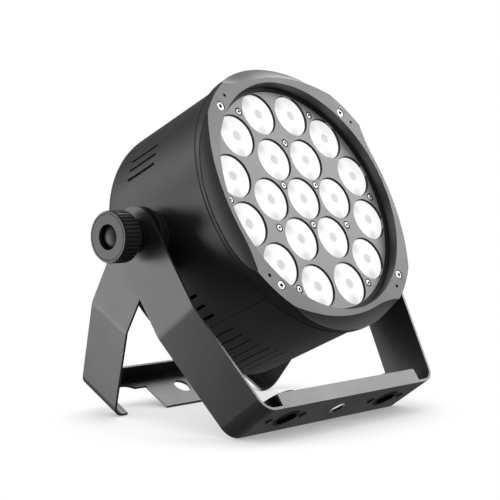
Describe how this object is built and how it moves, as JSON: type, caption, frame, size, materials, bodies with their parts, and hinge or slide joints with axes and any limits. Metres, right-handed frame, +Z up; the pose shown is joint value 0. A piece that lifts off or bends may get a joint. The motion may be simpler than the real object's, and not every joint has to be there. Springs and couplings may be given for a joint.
{
  "type": "par can light",
  "caption": "Round stage wash light with lensed LEDs behind a scooped bezel, hung in two nested brackets that clamp on side knobs and spread into a floor stand.",
  "frame": {"origin": "middle of the footprint's box, on the floor that the brackets stand on", "axes": "+X along the tilt axis, to the right seen from the front; the light faces -Y and looks up; +Z up"},
  "size_m": [0.264, 0.1856, 0.2383],
  "materials": {
    "bracket_black": "satin powder coat",
    "housing_black": "satin",
    "bezel_black": "satin",
    "zinc_black": "satin",
    "bare_aluminium": "satin",
    "screw_steel": "satin",
    "screw_black": "blackened",
    "latch_steel": "satin",
    "eye_steel": "blackened",
    "stud_black": "satin",
    "socket_nickel": "satin",
    "black_rubber": "matt",
    "plate_grey": "satin",
    "lens_clear": "clear, lit",
    "black_plastic": "matt",
    "knob_black": "matt",
    "fibre_black": "matt",
    "board_white": "matt",
    "board_green": "satin",
    "emitter_yellow": "gloss",
    "display_glass": "gloss",
    "button_plastic": "matt"
  },
  "bodies": {
    "outer_bracket": {"front_bracket": "bracket_black", "quick_lock_receptacles": "zinc_black", "receptacle_rivets": "zinc_black"},
    "inner_bracket": {"rear_bracket": "bracket_black", "strap_spacer_left": "black_plastic", "strap_spacer_right": "black_plastic"},
    "head": {"housing_right": "housing_black", "housing_left": "housing_black", "housing_top": "housing_black", "housing_bottom": "housing_black", "chassis_ring": "bare_aluminium", "front_bezel": "bezel_black", "bezel_screws": "screw_steel", "bezel_gasket": "black_rubber", "lens_plate": "plate_grey", "plate_screws": "screw_steel", "plate_standoffs": "bare_aluminium", "lenses": "lens_clear", "lens_cups": "black_plastic", "led_board": "board_white", "led_emitters": "emitter_yellow", "heat_sink": "bare_aluminium", "fan_frame": "black_plastic", "fan_screws": "screw_steel", "power_supply": "bare_aluminium", "control_board": "board_green", "rear_panel": "housing_black", "rear_screws": "screw_black", "display_frame": "black_plastic", "display_window": "display_glass", "button_guide": "black_plastic", "data_input": "socket_nickel", "data_pins": "screw_steel", "data_output": "socket_nickel", "socket_screws": "screw_black", "mains_inlet": "black_plastic", "mains_blades": "screw_steel", "mains_outlet": "black_plastic", "fuse_holder": "black_plastic", "safety_eye": "eye_steel", "eye_nuts": "screw_steel", "pivot_insert_right": "latch_steel", "friction_washer_right": "fibre_black", "pivot_insert_left": "latch_steel", "friction_washer_left": "fibre_black"},
    "fan": {"fan_rotor": "black_plastic"},
    "fuse_cap_body": {"fuse_cap": "black_plastic"},
    "data_latch": {"latch_tab": "latch_steel"},
    "button_1": {"menu_button_1": "button_plastic"},
    "button_2": {"menu_button_2": "button_plastic"},
    "button_3": {"menu_button_3": "button_plastic"},
    "button_4": {"menu_button_4": "button_plastic"},
    "left_washer": {"knob_washer_left": "fibre_black"},
    "left_knob": {"knob_left": "knob_black", "knob_stud_left": "stud_black"},
    "right_washer": {"knob_washer_right": "fibre_black"},
    "right_knob": {"knob_right": "knob_black", "knob_stud_right": "stud_black"}
  },
  "joints": [
    {"name": "head_tilt", "type": "hinge", "parent": "outer_bracket", "child": "head", "pos_m": [0, 0.0032, 0.12668], "axis": [1, 0, 0], "range_deg": [-90, 115]},
    {"name": "inner_bracket_swing", "type": "hinge", "parent": "outer_bracket", "child": "inner_bracket", "pos_m": [0, 0.0032, 0.12668], "axis": [1, 0, 0], "range_deg": [-60, 180]},
    {"name": "fan_spin", "type": "hinge", "parent": "head", "child": "fan", "pos_m": [0, 0.00774, 0.12459], "axis": [0, -0.9085, 0.4179], "continuous": true},
    {"name": "fuse_cap_turn", "type": "hinge", "parent": "head", "child": "fuse_cap_body", "pos_m": [0, 0.03531, 0.0888], "axis": [0, 0.9085, -0.4179], "range_deg": [0, 90]},
    {"name": "data_latch_press", "type": "slide", "parent": "head", "child": "data_latch", "axis": [0, -0.9085, 0.4179], "range_m": [0, 0.002], "stiffness_N_per_m": 400},
    {"name": "button_1_press", "type": "slide", "parent": "head", "child": "button_1", "axis": [0, -0.9085, 0.4179], "range_m": [0, 0.0008], "stiffness_N_per_m": 600},
    {"name": "button_2_press", "type": "slide", "parent": "head", "child": "button_2", "axis": [0, -0.9085, 0.4179], "range_m": [0, 0.0008], "stiffness_N_per_m": 600},
    {"name": "button_3_press", "type": "slide", "parent": "head", "child": "button_3", "axis": [0, -0.9085, 0.4179], "range_m": [0, 0.0008], "stiffness_N_per_m": 600},
    {"name": "button_4_press", "type": "slide", "parent": "head", "child": "button_4", "axis": [0, -0.9085, 0.4179], "range_m": [0, 0.0008], "stiffness_N_per_m": 600},
    {"name": "left_knob_travel", "type": "slide", "parent": "head", "child": "left_washer", "axis": [-1, 0, 0], "range_m": [0, 0.0025]},
    {"name": "left_knob_turn", "type": "hinge", "parent": "left_washer", "child": "left_knob", "pos_m": [-0.12, 0.0032, 0.12668], "axis": [-1, 0, 0], "range_deg": [0, 720]},
    {"name": "right_knob_travel", "type": "slide", "parent": "head", "child": "right_washer", "axis": [1, 0, 0], "range_m": [0, 0.0025]},
    {"name": "right_knob_turn", "type": "hinge", "parent": "right_washer", "child": "right_knob", "pos_m": [0.12, 0.0032, 0.12668], "axis": [1, 0, 0], "range_deg": [0, 720]}
  ],
  "couplings": [
    {"joint": "left_knob_turn", "follows": "left_knob_travel", "rad_per_m": 5026.5},
    {"joint": "right_knob_turn", "follows": "right_knob_travel", "rad_per_m": 5026.5}
  ]
}
